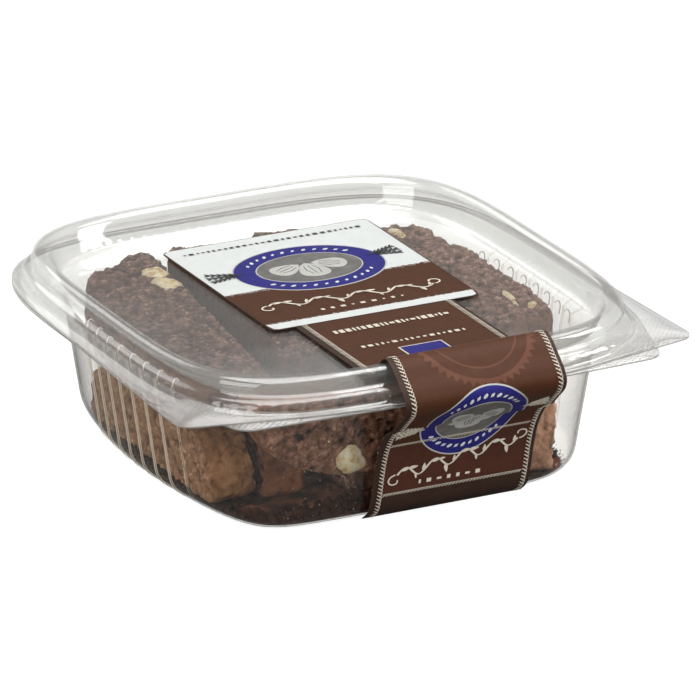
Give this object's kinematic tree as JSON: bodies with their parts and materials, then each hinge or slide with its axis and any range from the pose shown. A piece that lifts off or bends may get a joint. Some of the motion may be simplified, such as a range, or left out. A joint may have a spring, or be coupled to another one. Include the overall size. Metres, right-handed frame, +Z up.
{
  "type": "pack of biscotti",
  "caption": "Shut clear plastic tub and lid with a draped label, filled with domed slices of chocolate and almond biscotti.",
  "frame": {"origin": "middle of the tub's flat base, on the surface that the pack stands on", "axes": "+Z up, -Y towards the front of the pack where the label runs down, +X to the right as seen from the front"},
  "size_m": [0.1694, 0.1751, 0.0562],
  "materials": {
    "clear_plastic": "clear thermoformed sheet, glossy, very slightly grey",
    "label_paper": "satin coated label paper, brown and off-white fields with cream rope borders",
    "chocolate_biscuit": "dry baked chocolate crumb, matt, with a smoother brown crust",
    "almond": "cut almond, satin cream"
  },
  "bodies": {
    "root": {"tub": "clear_plastic", "lid": "clear_plastic", "label": "label_paper", "biscotto_left_upper": "chocolate_biscuit", "biscotto_middle_upper": "chocolate_biscuit", "biscotto_label_upper": "chocolate_biscuit", "biscotto_right_upper": "chocolate_biscuit", "biscotto_front": "chocolate_biscuit", "biscotto_left_lower": "chocolate_biscuit", "biscotto_left_inner": "chocolate_biscuit", "biscotto_middle_lower": "chocolate_biscuit", "biscotto_right_inner": "chocolate_biscuit", "biscotto_right_lower": "chocolate_biscuit"}
  },
  "joints": []
}
